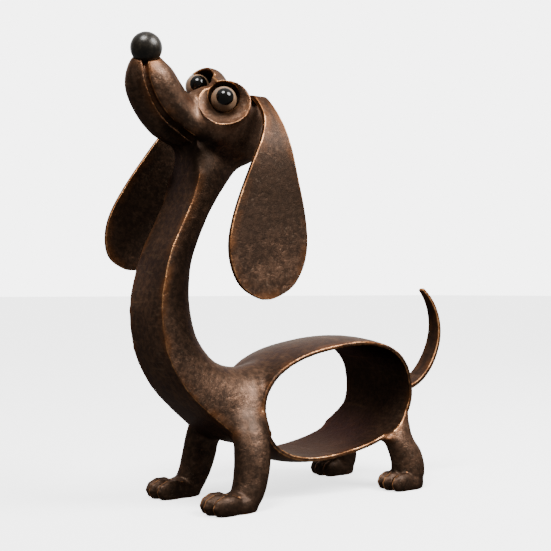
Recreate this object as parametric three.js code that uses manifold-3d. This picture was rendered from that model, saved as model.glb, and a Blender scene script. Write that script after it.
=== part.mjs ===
import * as THREE from "three";
import { mergeVertices } from "three/addons/utils/BufferGeometryUtils.js";
import Module from "manifold-3d";

const wasm = await Module();
wasm.setup();

// Millimetres, +Z up. The dog faces -X and its left side is -Y.

// Clear space between pieces that meet.
const GAP = 0.3;

// Facets thinner than this are joined to the ones beside them.
const SLIVER = 0.05;

// Ring body: an oval tube lying across the dog, open at both sides, thicker along its middle
// and narrower in front than behind.
const RING = { x: 47, z: 96, long: 90, high: 52.3, wall: 4, crown: 5, front: 40, rear: 52 };
const RING_FORM = { power: 2.43, tilt: 9.3, sides: 56, rows: 6 };

// Neck and chest, from the ring up to the head: the chest line and the nape line in x and z,
// and the half width and squareness of the back at the same stations.
const CHEST_LINE = [
  [-44, 57], [-68, 62], [-86, 75], [-119, 103], [-137, 125], [-150, 152],
  [-155, 189], [-151, 218], [-142, 248], [-120, 292], [-111, 326], [-112, 350], [-106, 372],
];
const NAPE_LINE = [
  [4, 146], [-32, 135], [-57, 132], [-80, 138], [-95, 150], [-107, 168],
  [-113, 195], [-113, 217], [-109, 240], [-91, 281], [-66, 316], [-42, 342], [-52, 368],
];
const NECK_HALF = [44, 42, 39, 35.5, 33.5, 32, 31, 30, 28.5, 28, 28.5, 22, 15];
const NECK_SQUARE = [1, 1, 0.95, 0.85, 0.75, 0.7, 0.7, 0.7, 0.7, 0.7, 0.75, 0.8, 0.85];
const NECK = { rows: 24, front: 4, sides: 18, swell: 0.06, sweep: 0.9 };

// Legs, from the body down into the paw: x, y, z, half depth and half width.
const FRONT_LEG = [
  [-56, 22, 104, 12, 8], [-61, 36, 80, 20, 13], [-63, 45, 53, 19, 14.5],
  [-67, 48, 31, 18, 15], [-73, 50, 14, 16.5, 15.5], [-77, 50, 4, 13.5, 14.5], [-78, 50, -4, 11, 13],
];
const HIND_LEG = [
  [134, 42, 100, 3, 5], [127, 45, 76, 12, 8], [120, 49, 55, 20, 12], [127, 52, 42, 19, 14],
  [131, 54, 28, 19, 15], [131, 55, 14, 18.5, 15.5], [129, 55, 4, 15, 14.5], [128, 55, -4, 12, 13],
];
const LEG = { rows: 10, sides: 14, square: 0.92 };

// Paws: a pad and three toes side by side, the middle toe ahead of the others.
const FRONT_PAW = { x: -84, y: 50, pad: [22, 17, 14.5], toe: [17.5, 6.8, 11.6], toeX: -102, spread: 11.2 };
const HIND_PAW = { x: 126, y: 56, pad: [22, 16.5, 14.5], toe: [16.5, 6.5, 11], toeX: 113, spread: 10.7 };
const PAW = { padZ: 6, toeZ: 8, ahead: 3, sides: 10, rings: 6 };

// Head: turned and tilted to the dog's left, and raised. Its sizes run forward, left and up.
const HEAD = { x: -87, y: 3, z: 368, turn: 15, raise: 35, tilt: 26 };
const SKULL = { at: [-10, 5.5, 12], radii: [48, 42, 36], sides: 24, rings: 13 };
const CHEEK = { temple: [-12.4, 23.3, 28.3], jaw: [4, 28, 4], radius: 21, sides: 18, caps: 5 };
const MUZZLE_AXIS = [[-22, -3], [12, -12], [36, -18.5], [60, -17], [81, -11.5], [103.5, -1.5]];
const MUZZLE_HALF = [[30, 22], [32.5, 24], [29.5, 26], [27, 26], [24.5, 24.5], [22.5, 22.5]];
const MUZZLE = { rows: 15, sides: 22, round: 0.74, tip: 0.02 };
const NOSE = { at: [103.3, 0, 4.8], radius: 14.9, sides: 18, rings: 11 };

// Mouth: a groove round the muzzle along this line, forward and up, wider at the corners.
const MOUTH_LINE = [
  [11, -21.5], [26, -24.5], [45, -27.8], [60, -27.5], [72, -25.3],
  [82, -21.8], [91, -17], [97, -11], [102, -4],
];
const MOUTH = { depth: 4.5, narrow: 1.9, wide: 3.2, reach: 60, steps: 12 };

// Eyes: a ball in each socket. A socket is a dome with a flat face, a dish cut into it below the lid,
// and a deep well under the hood. Aims are degrees to the dog's left of straight ahead, then up.
const EYE = { radius: 12.4, sides: 16, rings: 10 };
const EYE_LEFT = {
  at: [20, 24, 26], dome: [17.7, 28.2, 22.4], round: 25.6, rim: 25, dish: [36.5, 11.3], bowl: 40, lid: -60,
  well: [18.5, 19.8, 28.2], hole: [42.7, 5.3], face: 60,
};
const EYE_RIGHT = {
  at: [20.5, -27.5, 27.2], dome: [16, -16, 28.5], round: 23.4, rim: 22.4, dish: [-8, 0], bowl: 23.4, lid: -2,
  well: [16, -16, 28.5], hole: [6, 0], face: 15.2,
};
const CUP = { hole: 15.2, sides: 26, rings: 14, caps: 5 };
const CUP_BELOW = [-0.29, 0.08, -0.95];
const BROW = { radius: 19, sides: 20, caps: 5 };
const BRIDGE = { at: [98, -4, 18], radius: 70, sides: 40, rings: 24 };
const IRIS = { radius: 8.6, rise: 1.6, edge: 0.85, out: 52, up: 4, steps: 4, sides: 16 };

// Ears: bent sheets that go out from the head, over and down. Each station has the way out,
// the rise, the half width and how far its middle is set back.
const EAR = [
  [-23, -25, 6, 0], [-13, -9, 7.5, 0], [-3, 0, 8, 0], [5, 1, 7.5, 0.5], [11, -4, 7.5, 1.5], [17, -11, 8, 3],
  [23, -21, 9.5, 5], [28, -33, 13, 5.5], [32, -46, 17.5, 4.5], [34, -58, 22.2, 3.2], [35.5, -80, 29.8, 1.8],
  [37, -107, 39, 1], [39, -134, 44.5, 0], [40, -154, 43.5, 0], [41, -172, 36.5, 0], [41.5, -185, 25, 0],
  [42, -193, 5, 0],
];
const EAR_SHEET = { thick: 4.4, rows: 24, sides: 5 };
const EAR_LEFT = { x: -57, y: -40, z: 392, out: -1, stretch: 1, lean: 5 };
const EAR_RIGHT = { x: -62, y: 30, z: 421, out: 1, stretch: 1.22, lean: 18 };

// Tail: a flat strip along this curve behind the ring, thinner and narrower toward its tip.
const TAIL_LINE = [
  [138, 95], [164, 97], [188, 104], [207, 119], [220, 139], [226, 160], [224, 180], [216, 197], [205, 209],
];
const TAIL = { base: 12, tip: 3.5, thick: 5.5, thin: 3, rows: 20 };

const rad = THREE.MathUtils.degToRad;

function curve(points) {
  const stations = points.map((p) => new THREE.Vector3(p[0], p[1] ?? 0, p[2] ?? 0));
  return new THREE.CatmullRomCurve3(stations, false, "catmullrom", 0.5);
}

function power(value, exponent) {
  return Math.sign(value) * Math.abs(value) ** exponent;
}

function solid(geometry) {
  const plain = new THREE.BufferGeometry();
  plain.setAttribute("position", geometry.getAttribute("position").clone());
  plain.setIndex(geometry.index ? geometry.index.clone() : null);
  const welded = mergeVertices(plain, 1e-4);
  return new wasm.Manifold(
    new wasm.Mesh({
      numProp: 3,
      vertProperties: new Float32Array(welded.getAttribute("position").array),
      triVerts: new Uint32Array(welded.index.array),
    }),
  );
}

// A closed tube. place() takes the share along it, the step around it, and 0 on its axis or 1 on its skin.
function tube(rows, sides, place) {
  const geometry = new THREE.CylinderGeometry(1, 1, 1, sides, rows);
  const at = geometry.getAttribute("position");
  for (let i = 0; i < at.count; i += 1) {
    const turn = Math.atan2(at.getX(i), at.getZ(i)) / (2 * Math.PI);
    const step = (Math.round(turn * sides) + sides) % sides;
    const skin = Math.hypot(at.getX(i), at.getZ(i)) > 0.5 ? 1 : 0;
    const p = place(at.getY(i) + 0.5, step, skin);
    at.setXYZ(i, p.x, p.y, p.z);
  }
  const made = solid(geometry);
  if (made.volume() > 0) {
    return made;
  }
  const order = geometry.index;
  for (let i = 0; i < order.count; i += 3) {
    const first = order.getX(i);
    order.setX(i, order.getX(i + 1));
    order.setX(i + 1, first);
  }
  return solid(geometry);
}

function ball(centre, radii, sides, rings) {
  const geometry = new THREE.SphereGeometry(1, sides, rings);
  geometry.scale(...radii);
  geometry.translate(...centre);
  return solid(geometry);
}

function globe(centre, radius, sides, rings) {
  return ball(centre, [radius, radius, radius], sides, rings);
}

// Oval plug across the dog. Its skin stands out by the crown along the middle.
function oval(grow, crown, wide, rows) {
  return tube(rows, RING_FORM.sides, (along, step, skin) => {
    const side = 2 * along - 1;
    const out = grow + crown * (1 - side * side);
    const a = (2 * Math.PI * step) / RING_FORM.sides;
    const u = skin * (RING.long + out) * power(Math.cos(a), 2 / RING_FORM.power);
    const v = skin * (RING.high + out) * power(Math.sin(a), 2 / RING_FORM.power);
    const c = Math.cos(rad(RING_FORM.tilt));
    const s = Math.sin(rad(RING_FORM.tilt));
    const x = u * c - v * s;
    const half = THREE.MathUtils.mapLinear(x, -RING.long, RING.long, RING.front, RING.rear);
    return new THREE.Vector3(RING.x + x, side * half * wide, RING.z + u * s + v * c);
  });
}

// Neck and chest: flat in front with a crease at each side, round behind.
function neck() {
  const chest = curve(CHEST_LINE);
  const nape = curve(NAPE_LINE);
  const cut = curve(NECK_HALF.map((half, i) => [half, NECK_SQUARE[i]]));
  const sides = NECK.front + NECK.sides;
  return tube(NECK.rows, sides, (along, step, skin) => {
    const front = chest.getPoint(along);
    const back = nape.getPoint(along);
    const size = cut.getPoint(along);
    let across = (2 * step) / NECK.front - 1;
    let ahead = 1 + NECK.swell * (1 - across * across);
    if (step > NECK.front) {
      const t = (Math.PI * (step - NECK.front)) / NECK.sides;
      across = power(Math.cos(t), size.y);
      ahead = 1 - 2 * Math.sin(t) ** NECK.sweep;
    }
    const p = back.lerp(front, 0.5 + 0.5 * ahead * skin);
    return new THREE.Vector3(p.x, -size.x * across * skin, p.y);
  });
}

function leg(stations, side) {
  const path = curve(stations);
  const size = curve(stations.map((s) => [s[3], s[4]]));
  return tube(LEG.rows, LEG.sides, (along, step, skin) => {
    const c = path.getPoint(along);
    const s = size.getPoint(along);
    const a = (2 * Math.PI * step) / LEG.sides;
    const x = c.x + skin * s.x * power(Math.cos(a), LEG.square);
    const y = c.y + skin * s.y * power(Math.sin(a), LEG.square);
    return new THREE.Vector3(x, side * y, c.z);
  });
}

function paw(size, side) {
  let made = ball([size.x, side * size.y, PAW.padZ], size.pad, PAW.sides + 4, PAW.rings + 1);
  for (const place of [-1, 0, 1]) {
    const x = size.toeX - (place === 0 ? PAW.ahead : 0);
    const y = side * size.y + place * size.spread;
    made = made.add(ball([x, y, PAW.toeZ], size.toe, PAW.sides, PAW.rings));
  }
  return made;
}

// The head's own frame: forward, left and up.
function headFrame() {
  const turn = rad(HEAD.turn);
  const raise = rad(HEAD.raise);
  const tilt = rad(HEAD.tilt);
  const level = new THREE.Vector3(-Math.cos(turn), -Math.sin(turn), 0);
  const flank = new THREE.Vector3(Math.sin(turn), -Math.cos(turn), 0);
  const zenith = new THREE.Vector3(0, 0, 1);
  const forward = level.clone().multiplyScalar(Math.cos(raise)).addScaledVector(zenith, Math.sin(raise));
  const crown = zenith.clone().multiplyScalar(Math.cos(raise)).addScaledVector(level, -Math.sin(raise));
  const up = crown.clone().multiplyScalar(Math.cos(tilt)).addScaledVector(flank, Math.sin(tilt));
  const left = flank.clone().multiplyScalar(Math.cos(tilt)).addScaledVector(crown, -Math.sin(tilt));
  return new THREE.Matrix4().makeBasis(forward, left, up).setPosition(HEAD.x, HEAD.y, HEAD.z);
}

function onHead(made) {
  return made.transform(headFrame().elements);
}

// Skull and muzzle, smaller all over by the inset. The muzzle closes in a round tip.
function muzzle(inset) {
  const axis = curve(MUZZLE_AXIS);
  const half = curve(MUZZLE_HALF);
  const trunk = tube(MUZZLE.rows, MUZZLE.sides, (along, step, skin) => {
    const share = Math.sin((along * Math.PI) / 2);
    const c = axis.getPoint(share);
    const s = half.getPoint(share);
    const t = axis.getTangent(share);
    const past = Math.max(0, share - MUZZLE.round) / (1 - MUZZLE.round);
    const close = skin * Math.sqrt(Math.max(MUZZLE.tip ** 2, 1 - past * past));
    const a = (2 * Math.PI * step) / MUZZLE.sides;
    const across = close * (s.x - inset) * Math.cos(a);
    const rise = close * (s.y - inset) * Math.sin(a);
    const back = inset * past;
    return new THREE.Vector3(c.x - t.x * back - t.y * rise, across, c.y - t.y * back + t.x * rise);
  });
  const skull = ball(SKULL.at, SKULL.radii.map((r) => r - inset), SKULL.sides, SKULL.rings);
  return trunk.add(skull);
}

function mouth() {
  const line = curve(MOUTH_LINE);
  const upper = [];
  const lower = [];
  for (let i = 0; i <= MOUTH.steps; i += 1) {
    const along = i / MOUTH.steps;
    const c = line.getPoint(along);
    const t = line.getTangent(along);
    const half = MOUTH.narrow + (MOUTH.wide - MOUTH.narrow) * (1 - along) ** 2;
    upper.push(new THREE.Vector2(c.x - t.y * half, c.y + t.x * half));
    lower.push(new THREE.Vector2(c.x + t.y * half, c.y - t.x * half));
  }
  const outline = new THREE.Shape([...lower, ...upper.reverse()]);
  const sheet = new THREE.ExtrudeGeometry(outline, { depth: 2 * MOUTH.reach, bevelEnabled: false });
  sheet.translate(0, 0, -MOUTH.reach);
  sheet.rotateX(Math.PI / 2);
  return solid(sheet).subtract(muzzle(MOUTH.depth));
}

function aim(out, up) {
  const flat = Math.cos(rad(up));
  return new THREE.Vector3(flat * Math.cos(rad(out)), flat * Math.sin(rad(out)), Math.sin(rad(up)));
}

// A rod with round ends, from one point to another.
function rod(start, end, radius, sides, caps) {
  const along = end.clone().sub(start);
  const geometry = new THREE.CapsuleGeometry(radius, along.length(), caps, sides);
  const upright = new THREE.Vector3(0, 1, 0);
  geometry.applyQuaternion(new THREE.Quaternion().setFromUnitVectors(upright, along.clone().normalize()));
  geometry.translate(...start.clone().lerp(end, 0.5).toArray());
  return solid(geometry);
}

function dome(eye) {
  const back = aim(...eye.hole).negate();
  const level = back.dot(new THREE.Vector3(...eye.dome)) - eye.face;
  return globe(eye.dome, eye.round, CUP.sides, CUP.rings).trimByPlane(back.toArray(), level);
}

// Hollow of the eye: a wide dish below the lid and a narrow well under the hood.
function hollow(eye) {
  const before = Math.sqrt(eye.round ** 2 - eye.rim ** 2) + Math.sqrt(eye.bowl ** 2 - eye.rim ** 2);
  const front = new THREE.Vector3(...eye.dome).addScaledVector(aim(...eye.dish), before);
  const below = new THREE.Vector3(...CUP_BELOW).normalize();
  const level = below.dot(new THREE.Vector3(...eye.at)) + eye.lid;
  const dish = globe(front.toArray(), eye.bowl, CUP.sides, CUP.rings).trimByPlane(below.toArray(), level);
  const start = new THREE.Vector3(...eye.well);
  const end = start.clone().addScaledVector(aim(...eye.hole), 2 * CUP.hole);
  return dish.add(rod(start, end, CUP.hole, CUP.sides, CUP.caps));
}

function eyeball(eye, grow) {
  return onHead(globe(eye.at, EYE.radius + grow, EYE.sides, EYE.rings));
}

function nose(grow) {
  return onHead(globe(NOSE.at, NOSE.radius + grow, NOSE.sides, NOSE.rings));
}

// Iris: a shallow dome that sits on the ball.
function iris(eye) {
  const look = aim(IRIS.out, IRIS.up);
  const under = [];
  const over = [];
  for (let i = 0; i <= IRIS.steps; i += 1) {
    const r = (IRIS.radius * i) / IRIS.steps;
    const seat = Math.sqrt((EYE.radius + GAP) ** 2 - r * r);
    under.push(new THREE.Vector2(r, seat));
    over.push(new THREE.Vector2(r, seat + IRIS.rise * (1 - ((IRIS.edge * r) / IRIS.radius) ** 2)));
  }
  const geometry = new THREE.LatheGeometry([...under, ...over.reverse()], IRIS.sides);
  geometry.applyQuaternion(new THREE.Quaternion().setFromUnitVectors(new THREE.Vector3(0, 1, 0), look));
  geometry.translate(...eye.at);
  return onHead(solid(geometry));
}

function ear(hang, grow) {
  const spine = curve(EAR.map((s) => [s[0] * hang.stretch, s[1]]));
  const width = curve(EAR.map((s) => [s[2], s[3]]));
  const sides = 2 * EAR_SHEET.sides;
  return tube(EAR_SHEET.rows, sides, (along, step, skin) => {
    const c = spine.getPoint(along);
    const t = spine.getTangent(along);
    const row = step % EAR_SHEET.sides;
    const across = (2 * row) / (EAR_SHEET.sides - 1) - 1;
    const face = step < EAR_SHEET.sides ? 1 : -1;
    const w = width.getPoint(along);
    const x = w.y + skin * face * across * (w.x + grow);
    const deep = skin * face * (EAR_SHEET.thick / 2 + grow);
    const rise = c.y + t.x * deep;
    return new THREE.Vector3(
      hang.x + x + rise * Math.tan(rad(hang.lean)),
      hang.y + hang.out * (c.x - t.y * deep),
      hang.z + rise,
    );
  });
}

function tail(grow) {
  const line = curve(TAIL_LINE);
  return tube(TAIL.rows, 4, (along, step, skin) => {
    const c = line.getPoint(along);
    const t = line.getTangent(along);
    const wide = THREE.MathUtils.lerp(TAIL.base, TAIL.tip, along ** 2) + grow;
    const deep = THREE.MathUtils.lerp(TAIL.thick, TAIL.thin, along) / 2 + grow;
    const y = skin * (step === 0 || step === 3 ? wide : -wide);
    const d = skin * (step < 2 ? deep : -deep);
    return new THREE.Vector3(c.x - t.y * d, y, c.y + t.x * d);
  });
}

function node(name, made, colour, metalness, roughness) {
  const flat = made.getMesh();
  const geometry = new THREE.BufferGeometry();
  geometry.setAttribute("position", new THREE.BufferAttribute(new Float32Array(flat.vertProperties), 3));
  geometry.setIndex(new THREE.BufferAttribute(new Uint32Array(flat.triVerts), 1));
  const faces = geometry.toNonIndexed();
  faces.computeVertexNormals();
  const finish = new THREE.MeshStandardMaterial({ color: colour, metalness, roughness });
  const mesh = new THREE.Mesh(faces, finish);
  mesh.name = name;
  return mesh;
}

// The casting: ring, neck, legs and paws, then the head, then the seats of the pieces set into it.
const SIDES = [1, -1];
let casting = neck().add(oval(RING.wall, RING.crown, 1, RING_FORM.rows));
for (const side of SIDES) {
  casting = casting.add(leg(FRONT_LEG, side)).add(leg(HIND_LEG, side));
}
casting = casting.subtract(oval(0, 0, 2, 1));
for (const side of SIDES) {
  casting = casting.add(paw(FRONT_PAW, side)).add(paw(HIND_PAW, side));
}
casting = casting.trimByPlane([0, 0, 1], 0);

const EYES = [["left", EYE_LEFT], ["right", EYE_RIGHT]];
const brow = EYES.map(([, eye]) => new THREE.Vector3(...eye.dome));
const cheek = [CHEEK.temple, CHEEK.jaw].map((at) => new THREE.Vector3(...at));
let sockets = rod(...brow, BROW.radius, BROW.sides, BROW.caps).add(dome(EYE_LEFT));
sockets = sockets.subtract(globe(BRIDGE.at, BRIDGE.radius, BRIDGE.sides, BRIDGE.rings)).add(dome(EYE_RIGHT));
let head = muzzle(0).add(rod(...cheek, CHEEK.radius, CHEEK.sides, CHEEK.caps)).add(sockets);
for (const [, eye] of EYES) {
  head = head.subtract(hollow(eye));
}
head = head.subtract(mouth());
casting = casting.add(onHead(head));
for (const [, eye] of EYES) {
  casting = casting.subtract(eyeball(eye, GAP));
}
casting = casting.subtract(nose(GAP)).subtract(tail(GAP));
casting = casting.subtract(ear(EAR_LEFT, GAP)).subtract(ear(EAR_RIGHT, GAP)).simplify(SLIVER);

const figure = new THREE.Group();
figure.add(node("body_casting", casting, 0x4a3a30, 0.8, 0.5));
figure.add(node("nose_ball", nose(0), 0x241f1d, 0.6, 0.35));
figure.add(node("ear_left", ear(EAR_LEFT, 0), 0x4d3c30, 0.8, 0.5));
figure.add(node("ear_right", ear(EAR_RIGHT, 0), 0x4d3c31, 0.8, 0.5));
figure.add(node("tail", tail(0), 0x553d2c, 0.8, 0.5));
for (const [name, eye] of EYES) {
  figure.add(node(`eyeball_${name}`, eyeball(eye, 0), 0x9a7a5c, 0, 0.4));
  figure.add(node(`iris_${name}`, iris(eye), 0x0a0a0a, 0, 0.1));
}

// The origin is on the floor at the middle of the dog's length and width.
const extent = new THREE.Box3().setFromObject(figure);
const middle = extent.getCenter(new THREE.Vector3());
for (const mesh of figure.children) {
  mesh.geometry.translate(-middle.x, -middle.y, -extent.min.z);
}

export default figure;
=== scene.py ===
import math

import bmesh
import bpy
import numpy as np
from mathutils import Matrix, Vector, kdtree


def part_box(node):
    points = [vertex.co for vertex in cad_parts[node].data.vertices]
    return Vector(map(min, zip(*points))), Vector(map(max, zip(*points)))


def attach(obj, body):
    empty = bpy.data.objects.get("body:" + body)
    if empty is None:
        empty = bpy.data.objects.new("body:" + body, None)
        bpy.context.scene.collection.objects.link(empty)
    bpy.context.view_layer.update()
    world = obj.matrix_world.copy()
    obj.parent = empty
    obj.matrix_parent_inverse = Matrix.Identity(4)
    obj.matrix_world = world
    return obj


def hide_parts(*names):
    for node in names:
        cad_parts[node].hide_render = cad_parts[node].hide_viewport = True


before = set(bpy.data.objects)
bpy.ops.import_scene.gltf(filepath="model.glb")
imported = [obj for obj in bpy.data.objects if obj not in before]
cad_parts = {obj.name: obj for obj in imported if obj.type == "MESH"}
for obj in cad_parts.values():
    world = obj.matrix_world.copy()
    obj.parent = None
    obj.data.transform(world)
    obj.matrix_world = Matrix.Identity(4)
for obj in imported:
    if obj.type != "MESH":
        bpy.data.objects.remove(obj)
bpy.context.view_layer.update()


# Casting: the head, neck, ring body, legs and paws of the dog in one piece of hollow-cast metal.
# It has a dark brown patina, rubbed redder where it stands out, lighter over the upper head as partly
# wear and partly a painted highlight, darker under the jaw and in the eye wells as painted shade, and
# bare copper along its edges.


def cad_mesh(name):
    """A joined copy of a CAD solid's mesh."""
    made = bmesh.new()
    made.from_mesh(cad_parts[name].data)
    bmesh.ops.remove_doubles(made, verts=made.verts, dist=1e-6)
    return made


def edge_points(made, low, high, spacing=0.0006):
    """Points along the edges whose signed face angle, in degrees, is between two limits."""
    points = []
    for edge in made.edges:
        if len(edge.link_faces) != 2:
            continue
        angle = math.degrees(edge.calc_face_angle_signed(0.0))
        if low < angle < high:
            start, end = (v.co for v in edge.verts)
            steps = max(1, int(edge.calc_length() / spacing))
            points += [start.lerp(end, i / steps) for i in range(steps + 1)]
    return points


def distance_to(points, places):
    """How far each place is from the nearest of the points."""
    tree = kdtree.KDTree(len(points))
    for i, point in enumerate(points):
        tree.insert(point, i)
    tree.balance()
    return np.array([tree.find(place)[2] for place in places])


def new_piece(name, mesh, *materials):
    """An object that rides on the part, with its mesh shaded smooth."""
    piece = bpy.data.objects.new(name, mesh)
    bpy.context.scene.collection.objects.link(piece)
    mesh.shade_smooth()
    mesh.materials.clear()
    for material in materials:
        mesh.materials.append(material)
    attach(piece, "root")
    return piece


def applied(piece):
    """The piece's mesh with its modifiers applied, in place of the old one."""
    graph = bpy.context.evaluated_depsgraph_get()
    mesh = bpy.data.meshes.new_from_object(piece.evaluated_get(graph))
    piece.modifiers.clear()
    piece.data = mesh
    mesh.shade_smooth()
    return mesh


def ramp(values, low, high):
    """0 below low, 1 above high, smooth between."""
    t = np.clip((values - low) / (high - low), 0, 1)
    return t * t * (3 - 2 * t)


def means(values, pairs, degree):
    """The mean of the values at each vertex's neighbours."""
    a, b = pairs.T
    count = len(values)
    sums = [np.bincount(a, c[b], count) + np.bincount(b, c[a], count) for c in values.T]
    return (np.array(sums) / degree).T


class Skin:
    """The places of a mesh's vertices, to be smoothed and painted."""

    def __init__(self, mesh):
        self.mesh = mesh
        self.count = len(mesh.vertices)
        places = np.empty(self.count * 3, np.float32)
        mesh.vertices.foreach_get("co", places)
        self.co = places.reshape(-1, 3).astype(float)
        pairs = np.empty(len(mesh.edges) * 2, np.int32)
        mesh.edges.foreach_get("vertices", pairs)
        self.pairs = pairs.reshape(-1, 2)

    def relax(self, weight, passes, keep=0):
        """Smooth the places, and give back the lost size, spread out by the keep passes."""
        moving = self.pairs[(weight > 0)[self.pairs].any(axis=1)]
        used, ends = np.unique(moving, return_inverse=True)
        ends = ends.reshape(-1, 2)
        degree = np.bincount(ends.ravel())
        start = self.co[used]
        places = start.copy()
        step = 0.5 * weight[used, None]
        for _ in range(passes):
            places += step * (means(places, ends, degree) - places)
        if keep:
            lost = start - places
            for _ in range(keep):
                lost = means(lost, ends, degree)
            places += lost
        self.co[used] = places

    def write(self):
        self.mesh.vertices.foreach_set("co", self.co.astype(np.float32).ravel())
        self.mesh.update()

    def paint(self, name, values):
        layer = self.mesh.attributes.new(name, "FLOAT", "POINT")
        layer.data.foreach_set("value", np.clip(values, 0, 1).astype(np.float32))


VOXEL = 0.00095
CASTING_TRIANGLES = 190000
SHARP_EDGE = (50, 180)
INNER_SEAM = (-180, -14)
HEAD_PLACE = Vector((-0.110794, 0.003381, 0.368))
HEAD_TURN, HEAD_RAISE, HEAD_TILT = (math.radians(a) for a in (15, 35, 26))
HEAD_FOOT = (0.325, 0.35)
PAW_TOP = (0.020, 0.032)
NECK_CREASE_TOP = 0.318
MOUTH_DROP, MOUTH_FALL = 0.0185, 0.27
MOUTH_END, LIP_WORN_END = 0.011, 0.02
LIP_HALF, LIP_RISE = 0.0045, 0.0025
CHIN_START = 0.04
solid = cad_mesh("body_casting")
level = Vector((-math.cos(HEAD_TURN), -math.sin(HEAD_TURN), 0))
flank = Vector((math.sin(HEAD_TURN), -math.cos(HEAD_TURN), 0))
ahead = level * math.cos(HEAD_RAISE) + Vector((0, 0, math.sin(HEAD_RAISE)))
crown = Vector((0, 0, math.cos(HEAD_RAISE))) - level * math.sin(HEAD_RAISE)
above = crown * math.cos(HEAD_TILT) + flank * math.sin(HEAD_TILT)


def kept_crease(point, mouth_end):
    """False behind the mouth and on the neck's side creases where they die out under the jaw."""
    forward = (point - HEAD_PLACE).dot(ahead)
    up = (point - HEAD_PLACE).dot(above)
    lip = abs(up + MOUTH_DROP + MOUTH_FALL * forward)
    on_mouth = forward > mouth_end and lip < LIP_HALF
    on_face = up > LIP_RISE - MOUTH_DROP or forward > CHIN_START
    return point.z < NECK_CREASE_TOP or on_face or on_mouth


crease_points, lost_points = [], []
for point in edge_points(solid, *SHARP_EDGE):
    (crease_points if kept_crease(point, MOUTH_END) else lost_points).append(point)
worn_points = [point for point in crease_points if kept_crease(point, LIP_WORN_END)]
seam_points = edge_points(solid, *INNER_SEAM)
mesh = bpy.data.meshes.new("casting")
solid.to_mesh(mesh)
solid.free()
casting = new_piece("casting", mesh)
remesh = casting.modifiers.new("voxels", "REMESH")
remesh.mode = "VOXEL"
remesh.voxel_size = VOXEL

CREASE_HOLD, CREASE_GIVE = (0.0012, 0.006), 0.02
PAW_HOLD, HEAD_HOLD = 0.88, 0.45
SOFT_PASSES, KEEP_PASSES = 90, 60
FILLET_REACH, FILLET_HOLD = (0.002, 0.016), (0.0015, 0.009)
FILLET_PASSES = 240
THROAT_REACH, THROAT_PASSES = (0.003, 0.016), 320
LAST_WEIGHT, LAST_PASSES = 0.8, 3
skin = Skin(applied(casting))
crease = distance_to(crease_points, skin.co)
seam = distance_to(seam_points, skin.co)
throat = distance_to(lost_points, skin.co)
is_paw = 1 - ramp(skin.co[:, 2], *PAW_TOP)
is_head = ramp(skin.co[:, 2], *HEAD_FOOT)
off_crease = ramp(crease, *CREASE_HOLD)
soft = CREASE_GIVE + (1 - CREASE_GIVE) * off_crease
skin.relax((1 - PAW_HOLD * is_paw - HEAD_HOLD * is_head) * soft, SOFT_PASSES, KEEP_PASSES)
fillet = (1 - ramp(seam, *FILLET_REACH)) * (1 - is_paw) * ramp(crease, *FILLET_HOLD)
skin.relax(fillet, FILLET_PASSES)
skin.relax((1 - ramp(throat, *THROAT_REACH)) * off_crease, THROAT_PASSES)
skin.relax(np.full(skin.count, LAST_WEIGHT), LAST_PASSES)
skin.write()

decimate = casting.modifiers.new("fewer", "DECIMATE")
decimate.ratio = min(1.0, CASTING_TRIANGLES / (2 * len(casting.data.polygons)))
CASTING_WEAR = (0.0002, 0.0018)
STAIN_REACH = (0.0, 0.011)
HOLLOW_DEPTH, PROUD_HEIGHT = (0.0, 0.0009), (0.0001, 0.0011)
RELIEF_PASSES = 12
BROW_RISE, BROW_END, BROW_WEAR_AND_HIGHLIGHT = (-0.012, 0.004), (0.035, 0.065), 0.8
skin = Skin(applied(casting))
places = skin.co.copy()
above_paw = ramp(places[:, 2], *PAW_TOP)
worn = distance_to(worn_points, places)
skin.paint("wear", 1 - ramp(worn, *CASTING_WEAR))
skin.paint("stain", (1 - ramp(worn, *STAIN_REACH)) * above_paw)
normals = np.empty(skin.count * 3, np.float32)
skin.mesh.vertices.foreach_get("normal", normals)
normals = normals.reshape(-1, 3)
skin.relax(np.ones(skin.count), RELIEF_PASSES)
sunk = ((skin.co - places) * normals).sum(1)
skin.paint("hollow", ramp(sunk, *HOLLOW_DEPTH))
# The lighter patina on proud places is wear; over the upper part of the head it is partly wear and
# partly a painted highlight.
forward, up = ((places - HEAD_PLACE) @ axis for axis in (ahead, above))
brow_wear_and_highlight = ramp(up, *BROW_RISE) * (1 - ramp(forward, *BROW_END)) * ramp(places[:, 2], *HEAD_FOOT)
skin.paint("proud_wear_and_highlight", ramp(-sunk, *PROUD_HEIGHT) + BROW_WEAR_AND_HIGHLIGHT * brow_wear_and_highlight)

# Inside the ring the base colour is darkened: partly dark patina, partly painted shade where little
# light reaches in.
RING_MIDDLE = (0.0232, 0.096)
RING_LONG, RING_HIGH, RING_POWER = 0.090, 0.0523, 2.43
RING_TILT = math.radians(9.3)
RING_FACE = (1.012, 1.035)
away = places[:, [0, 2]] - RING_MIDDLE
along = np.abs(away @ (math.cos(RING_TILT), math.sin(RING_TILT))) / RING_LONG
across = np.abs(away @ (-math.sin(RING_TILT), math.cos(RING_TILT))) / RING_HIGH
oval = (along**RING_POWER + across**RING_POWER) ** (1 / RING_POWER)
skin.paint("inside_patina_and_shade", 1 - ramp(oval, *RING_FACE))

# Painted shade: the patina is darkened under the jaw, where the head shadows the neck, and inside the
# eye wells. The paws are also darker towards the bottom.
THROAT_SHADOW, WELL_SHADE, PAW_DARK = (0.006, 0.022), (0.003, 0.013), 0.45
dark = [1 - ramp(distance_to(lost_points, places), *THROAT_SHADOW), PAW_DARK * (1 - above_paw)]
for eye in ("eyeball_left", "eyeball_right"):
    low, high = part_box(eye)
    from_eye = np.linalg.norm(places - (low + high) / 2, axis=1) - max(high - low) / 2
    dark.append(1 - ramp(from_eye, *WELL_SHADE))
skin.paint("shade", np.max(dark, axis=0))


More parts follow.
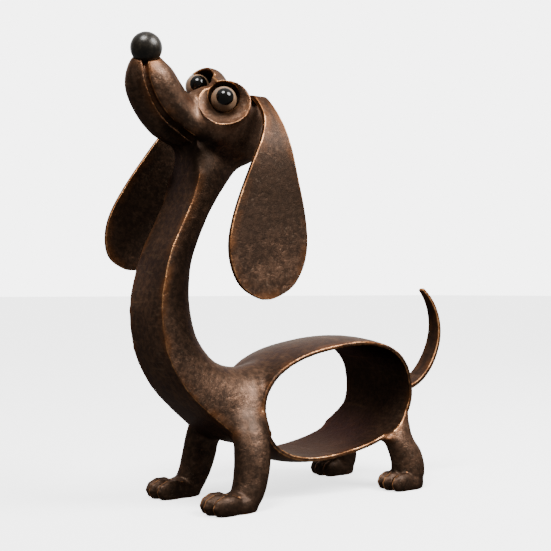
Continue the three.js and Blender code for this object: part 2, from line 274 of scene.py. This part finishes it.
class Wire:
    """One value in a node tree. Operators add maths nodes, and make() adds any other node."""

    def __init__(self, tree, socket=None):
        self.tree = tree
        self.socket = socket

    def make(self, kind, inputs, output=0, **settings):
        node = self.tree.nodes.new("ShaderNode" + kind)
        for name, value in settings.items():
            setattr(node, name, value)
        for key, value in inputs.items():
            if isinstance(value, Wire):
                self.tree.links.new(value.socket, node.inputs[key])
            else:
                node.inputs[key].default_value = value
        return Wire(self.tree, node.outputs[output])

    def maths(self, operation, left, right):
        return self.make("Math", {0: left, 1: right}, operation=operation)

    def __add__(self, other):
        return self.maths("ADD", self, other)

    def __radd__(self, other):
        return self.maths("ADD", other, self)

    def __sub__(self, other):
        return self.maths("SUBTRACT", self, other)

    def __rsub__(self, other):
        return self.maths("SUBTRACT", other, self)

    def __mul__(self, other):
        return self.maths("MULTIPLY", self, other)

    def __rmul__(self, other):
        return self.maths("MULTIPLY", other, self)

    def between(self, low, high):
        """0 at low and 1 at high, held at the ends."""
        inputs = {"Value": self, "From Min": low, "From Max": high}
        return self.make("MapRange", inputs, interpolation_type="SMOOTHSTEP")

    def mix(self, first, second):
        """The first colour where this is 0 and the second where it is 1."""
        return self.make("Mix", {0: self, 6: first, 7: second}, 2, data_type="RGBA")

    def noise(self, scale, detail, roughness, distortion=0.0, stretch=(1, 1, 1), turn=(0, 0, 0)):
        """Cloudy noise on the piece's own coordinates."""
        place = self.make("TexCoord", {}, "Object")
        place = self.make("Mapping", {"Vector": place, "Rotation": turn, "Scale": stretch})
        inputs = {
            "Vector": place,
            "Scale": scale,
            "Detail": detail,
            "Roughness": roughness,
            "Distortion": distortion,
        }
        return self.make("TexNoise", inputs)

    def painted(self, name):
        """A value that is painted on the mesh."""
        return self.make("Attribute", {}, "Fac", attribute_name=name)


def new_material(name, look):
    """A material whose shader takes the values and wires that look() gives for a wire."""
    material = bpy.data.materials.new(name)
    material.use_nodes = True
    shader = material.node_tree.nodes["Principled BSDF"]
    for key, value in look(Wire(material.node_tree)).items():
        if isinstance(value, Wire):
            material.node_tree.links.new(value.socket, shader.inputs[key])
        else:
            shader.inputs[key].default_value = value
    return material


PATINA_BLACK = (0.012, 0.0075, 0.005, 1)
PATINA_BROWN = (0.055, 0.029, 0.017, 1)
PATINA_RED = (0.168, 0.088, 0.052, 1)
PATINA_RUST = (0.19, 0.066, 0.018, 1)
SCRATCH_TAN = (0.36, 0.25, 0.17, 1)
COPPER = (0.34, 0.135, 0.05, 1)
COPPER_BRIGHT = (0.58, 0.31, 0.145, 1)
GRAZING_TINT = (0.5, 0.39, 0.31, 1)
STREAK = (1.0, 0.1, 1.7)
LINE, LINE_TURNS = (1.0, 0.15, 1.0), ((0.5, 0.0, 0.7), (1.2, 0.4, -0.5))


def bronze(wire):
    """Brown patina in clouds, redder where rubbed and where a highlight is painted on the upper head,
    rusty by the creases, copper on worn edges.
    """
    broad = wire.noise(9.0, 3.0, 0.5).between(0.36, 0.64)
    cloud = wire.noise(24.0, 6.0, 0.62, 0.5).between(0.34, 0.68)
    speck = wire.noise(190.0, 5.0, 0.68).between(0.36, 0.68)
    scratch = wire.noise(80.0, 3.0, 0.6, 0.3, STREAK).between(0.56, 0.7)
    hollow = wire.painted("hollow").between(0.1, 0.9)
    shade = wire.painted("shade") * (0.7 + cloud * 0.3)
    # Lighter, redder patina: random clouds, specks and scratches, wear on proud places, and a painted
    # highlight on the upper head.
    rubbed_and_highlight = broad * 0.24 + cloud * 0.26 + speck * 0.3 + scratch * 0.3 + wire.painted("proud_wear_and_highlight") * 0.3
    rubbed_and_highlight = (rubbed_and_highlight - 0.14 - shade * 0.5).between(0.0, 1.0)
    base = (0.45 + speck * 0.55).mix(PATINA_BLACK, PATINA_BROWN)
    base = (rubbed_and_highlight * 0.85).mix(base, PATINA_RED)
    stain = wire.painted("stain") * wire.noise(45.0, 5.0, 0.6).between(0.38, 0.66)
    base = (stain * 0.6).mix(base, PATINA_RUST)
    lines = wire.noise(330.0, 2.0, 0.5, 0.4, LINE, LINE_TURNS[0]).between(0.63, 0.7)
    lines = lines + wire.noise(300.0, 2.0, 0.5, 0.4, LINE, LINE_TURNS[1]).between(0.64, 0.71)
    base = (lines * broad * 0.16).mix(base, SCRATCH_TAN)
    base = (hollow * 0.75).mix(base, PATINA_BLACK)
    # The shade layer darkens the base colour here: painted shade under the jaw, in the eye wells and
    # on the ears.
    base = (shade * 0.8).mix(base, PATINA_BLACK)
    # Inside the ring: dark patina and painted shade.
    base = (wire.painted("inside_patina_and_shade") * 0.6).mix(base, PATINA_BLACK)
    patch = wire.noise(38.0, 3.0, 0.6).between(0.36, 0.62)
    edge = wire.painted("wear") * (0.5 + patch * 0.7) * (0.72 + speck * 0.4)
    edge = edge.between(0.2, 0.85)
    base = edge.mix(base, (patch * speck).mix(COPPER, COPPER_BRIGHT))
    height = speck * 0.6 + cloud * 0.5 - scratch * 0.5
    return {
        "Base Color": base,
        "Metallic": 0.82 + edge * 0.13,
        "Roughness": 0.43 - rubbed_and_highlight * 0.1 + speck * 0.05 + shade * 0.2 - edge * 0.1,
        "Specular IOR Level": 0.35,
        "Specular Tint": GRAZING_TINT,
        "Coat Weight": (1 - shade) * (1 - wire.painted("inside_patina_and_shade")) * 0.14,
        "Coat Roughness": 0.4,
        "Normal": wire.make("Bump", {"Strength": 0.4, "Distance": 0.0006, "Height": height}),
    }


casting_skin = new_material("casting_bronze", bronze)
casting.data.materials.append(casting_skin)
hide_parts("body_casting")


# Ears: two long sheets of metal, bent out of the head and hanging beside the neck.
# They have the casting's brown patina, with copper along the cut edge and painted shade in bands by
# height.


FLAT = math.radians(40)
FIRM = 0.8
SHEET_LEVELS = 4
SHEET_WEAR = (0.0004, 0.0018)


def sheet(name, node, heights, shade_levels):
    """A smooth copy of a CAD sheet with firm edges, worn along them, and darkened by height by the
    given levels.
    """
    made = cad_mesh(node)
    faces = made.faces[:]
    bmesh.ops.join_triangles(made, faces=faces, angle_face_threshold=FLAT, angle_shape_threshold=FLAT)
    firm = made.edges.layers.float.new("crease_edge")
    for edge in made.edges:
        if abs(math.degrees(edge.calc_face_angle_signed(0.0))) > SHARP_EDGE[0]:
            edge[firm] = FIRM
    edges = edge_points(made, *SHARP_EDGE)
    mesh = bpy.data.meshes.new(name)
    made.to_mesh(mesh)
    made.free()
    piece = new_piece(name, mesh)
    fine = piece.modifiers.new("fine", "SUBSURF")
    fine.levels = SHEET_LEVELS
    fine.render_levels = SHEET_LEVELS
    skin = Skin(applied(piece))
    worn = distance_to(edges, skin.co)
    skin.paint("wear", 1 - ramp(worn, *SHEET_WEAR))
    skin.paint("stain", 1 - ramp(worn, *STAIN_REACH))
    for layer in ("hollow", "proud_wear_and_highlight", "inside_patina_and_shade"):
        skin.paint(layer, np.zeros(skin.count))
    skin.paint("shade", np.interp(skin.co[:, 2], heights, shade_levels))
    piece.data.materials.append(casting_skin)
    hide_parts(node)


# Painted shade on the ears: the patina is darkened in a band across the middle and over the top, the
# near ear more than the far one.
EAR_HEIGHTS = (0.205, 0.235, 0.270, 0.318, 0.328, 0.345, 0.400)
NEAR_EAR_SHADE = (0.05, 0.10, 0.70, 0.85, 0.55, 0.45, 0.60)
FAR_EAR_SHADE = (0.0, 0.0, 0.2, 0.25, 0.2, 0.2, 0.3)
sheet("ear_left_sheet", "ear_left", EAR_HEIGHTS, NEAR_EAR_SHADE)
sheet("ear_right_sheet", "ear_right", EAR_HEIGHTS, FAR_EAR_SHADE)


# Tail: a flat tapering strip of the same metal, fixed behind the ring body and bent up.
# Its edges are worn to copper like those of the ears.
TAIL_HEIGHTS = (0.10, 0.15, 0.19, 0.22)
TAIL_TONES = (0.3, 0.6, 0.5, 0.2)
sheet("tail_strip", "tail", TAIL_HEIGHTS, TAIL_TONES)


# Nose: a ball of near-black metal, set into a seat in the tip of the muzzle.
# It is satin and finely speckled.


def ball(name, node, material):
    """A round ball in the place of a CAD ball."""
    low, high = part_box(node)
    made = bmesh.new()
    place = Matrix.Translation((low + high) / 2)
    radius = max(high - low) / 2
    bmesh.ops.create_uvsphere(made, u_segments=72, v_segments=48, radius=radius, matrix=place)
    mesh = bpy.data.meshes.new(name)
    made.to_mesh(mesh)
    made.free()
    piece = new_piece(name, mesh, material)
    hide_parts(node)


def nose_grey(wire):
    speck = wire.noise(240.0, 5.0, 0.7).between(0.4, 0.7)
    return {
        "Base Color": speck.mix((0.009, 0.0065, 0.004, 1), (0.03, 0.022, 0.013, 1)),
        "Metallic": 0.3,
        "Roughness": 0.3 + speck * 0.12,
    }


ball("nose", "nose_ball", new_material("nose_satin", nose_grey))


# Eyes: two tan balls held in the wells of the sockets, smooth and a little glossy.
# Each carries a black glossy dome for its iris.


def eye_tan(wire):
    speck = wire.noise(120.0, 4.0, 0.6).between(0.35, 0.7)
    return {
        "Base Color": speck.mix((0.17, 0.098, 0.054, 1), (0.25, 0.155, 0.095, 1)),
        "Roughness": 0.32,
    }


def iris_black(wire):
    return {"Base Color": (0.003, 0.0025, 0.002, 1), "Roughness": 0.04, "Specular IOR Level": 0.35}


IRIS_LEVELS = 3
eye_skin = new_material("eye_tan", eye_tan)
iris_skin = new_material("iris_black", iris_black)
for side in ("left", "right"):
    ball(f"eye_{side}", f"eyeball_{side}", eye_skin)
    made = cad_mesh(f"iris_{side}")
    mesh = bpy.data.meshes.new(f"iris_{side}_dome")
    made.to_mesh(mesh)
    made.free()
    dome = new_piece(f"iris_{side}_dome", mesh, iris_skin)
    fine = dome.modifiers.new("fine", "SUBSURF")
    fine.levels = IRIS_LEVELS
    fine.render_levels = IRIS_LEVELS
    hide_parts(f"iris_{side}")


# Stage: a pale floor, lifted a little by its own glow, before a bright backdrop.
# A broad light falls from the upper left and a smaller one from the right; the room is dim,
# so the metal keeps its deep tones and shines only where it faces the backdrop and the lights.
FLOOR_HALF = 30
floor_look = {
    "Base Color": (0.85, 0.85, 0.85, 1),
    "Roughness": 0.95,
    "Emission Color": (1, 1, 1, 1),
    "Emission Strength": 2.0,
}
floor_mesh = bpy.data.meshes.new("floor")
made = bmesh.new()
bmesh.ops.create_grid(made, x_segments=1, y_segments=1, size=FLOOR_HALF)
made.to_mesh(floor_mesh)
made.free()
floor_mesh.materials.append(new_material("floor_pale", lambda wire: floor_look))
floor = bpy.data.objects.new("floor", floor_mesh)
bpy.context.scene.collection.objects.link(floor)
floor.visible_diffuse = False
floor.visible_glossy = False

CEILING, CEILING_RISE = 0.45, (0.45, 0.95)
BACK, BACK_WAY, BACK_SPAN, BACK_FOOT = 1.6, (0.6, 0.8), (0.3, 0.95), (0.0, 0.12)
ROOM = 0.2
BACKDROP = 5.5
world = bpy.data.worlds.new("studio")
world.use_nodes = True
bpy.context.scene.world = world
wire = Wire(world.node_tree)
toward = wire.make("TexCoord", {}, "Generated")
east, north, rise = (wire.make("SeparateXYZ", {0: toward}, axis) for axis in "XYZ")
behind = (east * BACK_WAY[0] + north * BACK_WAY[1]).between(*BACK_SPAN) * rise.between(*BACK_FOOT)
seen = wire.make("LightPath", {}, "Is Camera Ray")
glow = rise.between(*CEILING_RISE) * CEILING + behind * BACK + ROOM
glow = seen * BACKDROP + (1 - seen) * glow
background = world.node_tree.nodes["Background"]
world.node_tree.links.new(glow.socket, background.inputs["Strength"])
background.inputs["Color"].default_value = (1, 1, 1, 1)


def hang(light, way, place=(0, 0, 0)):
    """A lamp with the light, shining along a direction from a place."""
    lamp = bpy.data.objects.new(light.name, light)
    lamp.location = place
    lamp.rotation_euler = way.to_track_quat("-Z", "Y").to_euler()
    bpy.context.scene.collection.objects.link(lamp)


KEY_PLACE, KEY_AIM = Vector((0.56, -1.12, 1.42)), Vector((-0.05, 0, 0.25))
KEY_SIZE, KEY_POWER = 1.0, 66
key = bpy.data.lights.new("key", "AREA")
key.shape = "DISK"
key.size = KEY_SIZE
key.energy = KEY_POWER
hang(key, KEY_AIM - KEY_PLACE, KEY_PLACE)

TOP_WAY = Vector((0.40, 0.25, -0.88))
TOP_STRENGTH, TOP_SPREAD = 5.6, math.radians(26)
top = bpy.data.lights.new("top", "SUN")
top.energy = TOP_STRENGTH
top.angle = TOP_SPREAD
hang(top, TOP_WAY)

CAMERA_PLACE = (-0.67893, -0.87543, 0.208)
CAMERA_PITCH, CAMERA_HEADING = math.radians(90.78), math.radians(-36.7)
LENS, SENSOR = 69.7, 36
camera_data = bpy.data.cameras.new("camera")
camera_data.lens = LENS
camera_data.sensor_width = SENSOR
camera = bpy.data.objects.new("camera", camera_data)
camera.location = CAMERA_PLACE
camera.rotation_euler = (CAMERA_PITCH, 0, CAMERA_HEADING)
bpy.context.scene.collection.objects.link(camera)
bpy.context.scene.camera = camera
